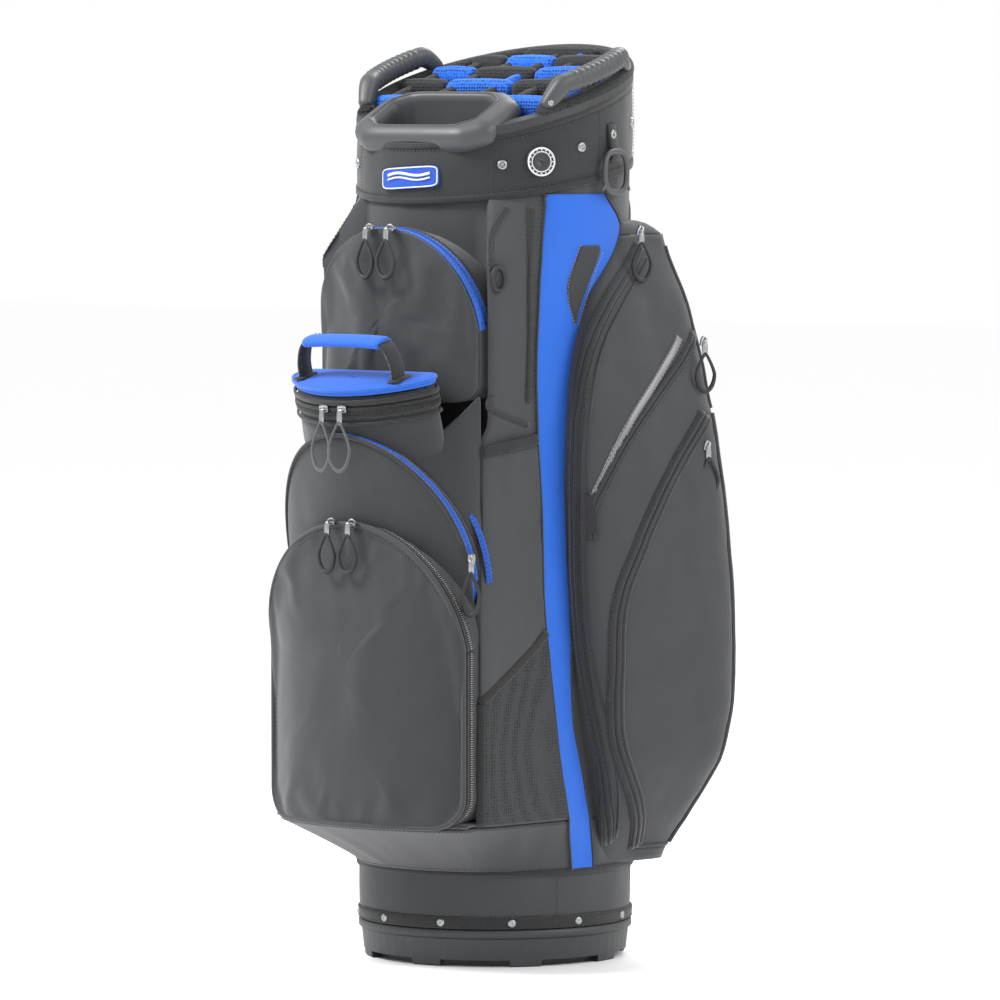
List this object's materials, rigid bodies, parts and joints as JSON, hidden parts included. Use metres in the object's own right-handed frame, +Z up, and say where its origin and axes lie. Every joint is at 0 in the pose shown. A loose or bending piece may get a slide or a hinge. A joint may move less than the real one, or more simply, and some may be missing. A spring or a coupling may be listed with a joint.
{
  "type": "golf cart bag",
  "caption": "Upright golf cart bag with a moulded base, fourteen-way top, putter well, zip pockets and a removable cooler.",
  "frame": {"origin": "centre of the flat pad under the base, on the floor", "axes": "+Z up along the club barrel, -Y towards the front with the putter well and ball pocket, +X to the right seen from the front"},
  "size_m": [0.4494, 0.4545, 0.9079],
  "materials": {
    "body_fabric": "woven polyester, dark grey",
    "panel_fabric": "woven polyester, charcoal",
    "black_fabric": "black webbing and padded fabric",
    "black_mesh": "black spacer mesh",
    "accent_fabric": "blue woven polyester",
    "moulded_plastic": "moulded, fine grain",
    "liner_plastic": "smooth sheet",
    "badge_plastic": "glossy badge",
    "zip_metal": "satin zip metal",
    "rubber": "matt"
  },
  "bodies": {
    "root": {"base_cup": "moulded_plastic", "base_band": "black_fabric", "base_sleeve": "black_fabric", "barrel_liner": "liner_plastic", "body_cover": "body_fabric", "skirt": "body_fabric", "back_pad": "black_fabric", "collar_ring": "moulded_plastic", "collar_cuff": "black_fabric", "divider_top": "black_mesh", "divider_sheet_1": "black_mesh", "divider_sheet_2": "black_mesh", "divider_sheet_3": "black_mesh", "stay_left": "liner_plastic", "stay_right": "liner_plastic", "putter_well": "moulded_plastic", "lift_handle_right": "moulded_plastic", "lift_handle_left": "moulded_plastic", "front_badge": "badge_plastic", "medallion": "moulded_plastic", "towel_tab": "black_fabric", "grommet": "rubber", "ball_pocket_gusset": "body_fabric", "cooler_pocket": "panel_fabric", "top_pocket_gusset": "body_fabric", "side_pocket_shell_right": "body_fabric", "side_pocket_shell_left": "body_fabric", "sleeve_pocket_right": "body_fabric", "sleeve_pocket_left": "body_fabric", "mesh_pocket_right": "black_mesh", "mesh_pocket_left": "black_mesh", "shoulder_strap": "black_fabric", "strap_anchor_lower": "zip_metal", "strap_anchor_upper": "zip_metal"},
    "ball_panel": {"ball_pocket_panel": "panel_fabric"},
    "top_panel": {"top_pocket_panel": "panel_fabric"},
    "cooler": {"cooler_body": "panel_fabric"},
    "cooler_lid": {"cooler_lid": "accent_fabric"},
    "cooler_handle": {"cooler_handle": "black_fabric"},
    "side_panel_right": {"side_pocket_panel_right": "panel_fabric"},
    "side_panel_left": {"side_pocket_panel_left": "panel_fabric"},
    "towel_ring": {"towel_ring": "moulded_plastic"},
    "ball_slider_right": {"ball_slider_right": "zip_metal"},
    "ball_pull_right": {"ball_pull_right": "rubber"},
    "ball_slider_left": {"ball_slider_left": "zip_metal"},
    "ball_pull_left": {"ball_pull_left": "rubber"},
    "top_slider_right": {"top_slider_right": "zip_metal"},
    "top_pull_right": {"top_pull_right": "rubber"},
    "top_slider_left": {"top_slider_left": "zip_metal"},
    "top_pull_left": {"top_pull_left": "rubber"},
    "cooler_slider_right": {"cooler_slider_right": "zip_metal"},
    "cooler_slider_left": {"cooler_slider_left": "zip_metal"},
    "cooler_pocket_slider": {"cooler_pocket_slider": "zip_metal"},
    "main_slider_right": {"main_slider_right": "zip_metal"},
    "valuables_slider_right": {"valuables_slider_right": "zip_metal"},
    "pocket_slider_right": {"pocket_slider_right": "zip_metal"},
    "main_slider_left": {"main_slider_left": "zip_metal"},
    "valuables_slider_left": {"valuables_slider_left": "zip_metal"},
    "pocket_slider_left": {"pocket_slider_left": "zip_metal"}
  },
  "joints": [
    {"name": "cooler_lift", "type": "slide", "parent": "root", "child": "cooler", "axis": [0, -0.2419, 0.9703], "range_m": [0, 0.2]},
    {"name": "cooler_lid_open", "type": "hinge", "parent": "cooler", "child": "cooler_lid", "pos_m": [0, -0.19334, 0.59198], "axis": [-1, 0, 0], "range_deg": [0, 45]},
    {"name": "cooler_handle_fold", "type": "hinge", "parent": "cooler_lid", "child": "cooler_handle", "pos_m": [0, -0.22711, 0.58686], "axis": [1, 0, 0], "range_deg": [0, 70]},
    {"name": "ball_pocket_open", "type": "hinge", "parent": "root", "child": "ball_panel", "pos_m": [0, -0.236, 0.147], "axis": [1, 0, 0], "range_deg": [0, 60]},
    {"name": "top_pocket_open", "type": "hinge", "parent": "root", "child": "top_panel", "pos_m": [0, -0.176, 0.562], "axis": [1, 0, 0], "range_deg": [0, 8]},
    {"name": "side_pocket_open_right", "type": "hinge", "parent": "root", "child": "side_panel_right", "pos_m": [0.2255, 0.0895, 0.36], "axis": [0, 0, 1], "range_deg": [0, 40]},
    {"name": "side_pocket_open_left", "type": "hinge", "parent": "root", "child": "side_panel_left", "pos_m": [-0.2255, 0.0895, 0.36], "axis": [0, 0, -1], "range_deg": [0, 40]},
    {"name": "towel_ring_swing", "type": "hinge", "parent": "root", "child": "towel_ring", "pos_m": [0.14395, 0.01007, 0.806], "axis": [0.0698, -0.9976, 0], "range_deg": [0, 60]},
    {"name": "ball_zip_right", "type": "hinge", "parent": "ball_panel", "child": "ball_slider_right", "pos_m": [0, -0.21, 0.3225], "axis": [0, 0.9635, 0.2678], "range_deg": [0, 72]},
    {"name": "ball_pull_right_hang", "type": "hinge", "parent": "ball_slider_right", "child": "ball_pull_right", "pos_m": [0.01298, -0.2435, 0.4423], "axis": [0, 0.9635, 0.2678], "range_deg": [-72, 0]},
    {"name": "ball_zip_left", "type": "hinge", "parent": "ball_panel", "child": "ball_slider_left", "pos_m": [0, -0.21, 0.3225], "axis": [0, -0.9635, -0.2678], "range_deg": [0, 72]},
    {"name": "ball_pull_left_hang", "type": "hinge", "parent": "ball_slider_left", "child": "ball_pull_left", "pos_m": [-0.01298, -0.2435, 0.4423], "axis": [0, -0.9635, -0.2678], "range_deg": [-72, 0]},
    {"name": "top_zip_right", "type": "hinge", "parent": "top_panel", "child": "top_slider_right", "pos_m": [0, -0.1595, 0.633], "axis": [0, 0.9707, 0.2402], "range_deg": [0, 72]},
    {"name": "top_pull_right_hang", "type": "hinge", "parent": "top_slider_right", "child": "top_pull_right", "pos_m": [0.01296, -0.1835, 0.72913], "axis": [0, 0.9707, 0.2402], "range_deg": [-72, 0]},
    {"name": "top_zip_left", "type": "hinge", "parent": "top_panel", "child": "top_slider_left", "pos_m": [0, -0.1595, 0.633], "axis": [0, -0.9707, -0.2402], "range_deg": [0, 72]},
    {"name": "top_pull_left_hang", "type": "hinge", "parent": "top_slider_left", "child": "top_pull_left", "pos_m": [-0.01296, -0.1835, 0.72913], "axis": [0, -0.9707, -0.2402], "range_deg": [-72, 0]},
    {"name": "cooler_zip_right", "type": "hinge", "parent": "cooler", "child": "cooler_slider_right", "pos_m": [0, -0.15278, 0.56406], "axis": [0, -0.2419, 0.9703], "range_deg": [0, 45]},
    {"name": "cooler_zip_left", "type": "hinge", "parent": "cooler", "child": "cooler_slider_left", "pos_m": [0, -0.15278, 0.56406], "axis": [0, 0.2419, -0.9703], "range_deg": [0, 45]},
    {"name": "cooler_pocket_zip", "type": "slide", "parent": "root", "child": "cooler_pocket_slider", "axis": [-0.2202, -0.1801, 0.9587], "range_m": [0, 0.06]},
    {"name": "main_zip_right", "type": "slide", "parent": "root", "child": "main_slider_right", "axis": [0.2981, -0.5963, -0.7454], "range_m": [0, 0.04]},
    {"name": "valuables_zip_right", "type": "slide", "parent": "root", "child": "valuables_slider_right", "axis": [0, -0.8, -0.6], "range_m": [0, 0.04]},
    {"name": "pocket_zip_right", "type": "slide", "parent": "side_panel_right", "child": "pocket_slider_right", "axis": [0.0401, -0.9528, -0.3009], "range_m": [0, 0.05]},
    {"name": "main_zip_left", "type": "slide", "parent": "root", "child": "main_slider_left", "axis": [-0.2981, -0.5963, -0.7454], "range_m": [0, 0.04]},
    {"name": "valuables_zip_left", "type": "slide", "parent": "root", "child": "valuables_slider_left", "axis": [0, -0.8, -0.6], "range_m": [0, 0.04]},
    {"name": "pocket_zip_left", "type": "slide", "parent": "side_panel_left", "child": "pocket_slider_left", "axis": [-0.0401, -0.9528, -0.3009], "range_m": [0, 0.05]}
  ],
  "couplings": [
    {"joint": "ball_pull_right_hang", "follows": "ball_zip_right", "ratio": -1},
    {"joint": "ball_pull_left_hang", "follows": "ball_zip_left", "ratio": -1},
    {"joint": "top_pull_right_hang", "follows": "top_zip_right", "ratio": -1},
    {"joint": "top_pull_left_hang", "follows": "top_zip_left", "ratio": -1}
  ]
}
